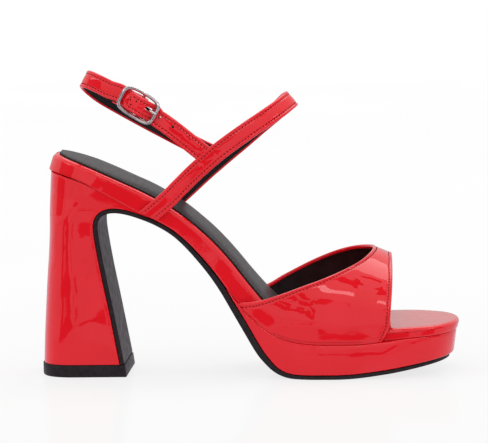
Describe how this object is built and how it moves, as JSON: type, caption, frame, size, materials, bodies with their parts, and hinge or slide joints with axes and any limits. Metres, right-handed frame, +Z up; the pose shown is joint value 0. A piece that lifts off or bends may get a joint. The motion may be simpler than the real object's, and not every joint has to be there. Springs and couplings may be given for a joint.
{
  "type": "platform sandal",
  "caption": "Open-toe platform sandal for the right foot with a flared block heel, wrapped platform, wide vamp and a buckled ankle sling.",
  "frame": {"origin": "centre of the bounding box in X and Y, on the floor under the treads", "axes": "+X from heel to toe, +Y to the inner (big toe) side of the right foot, +Z up"},
  "size_m": [0.2209, 0.0814, 0.1607],
  "materials": {
    "outsole": "satin black with a fine grain",
    "platform": "red patent, very glossy",
    "insole": "red patent, very glossy",
    "sock_lining": "dark grey, satin, softly padded",
    "heel": "red patent over a moulded block, very glossy",
    "top_lift": "black, satin",
    "vamp": "red patent outside, matt black lining inside",
    "ankle_straps": "red patent outside, matt black lining inside, stitched edges",
    "buckle_frame": "polished",
    "buckle_prong": "polished"
  },
  "bodies": {
    "root": {"outsole": "outsole", "platform": "platform", "insole": "insole", "sock_lining": "sock_lining", "heel": "heel", "top_lift": "top_lift", "vamp": "vamp", "ankle_straps": "ankle_straps", "buckle_frame": "buckle_frame", "buckle_prong": "buckle_prong"}
  },
  "joints": []
}
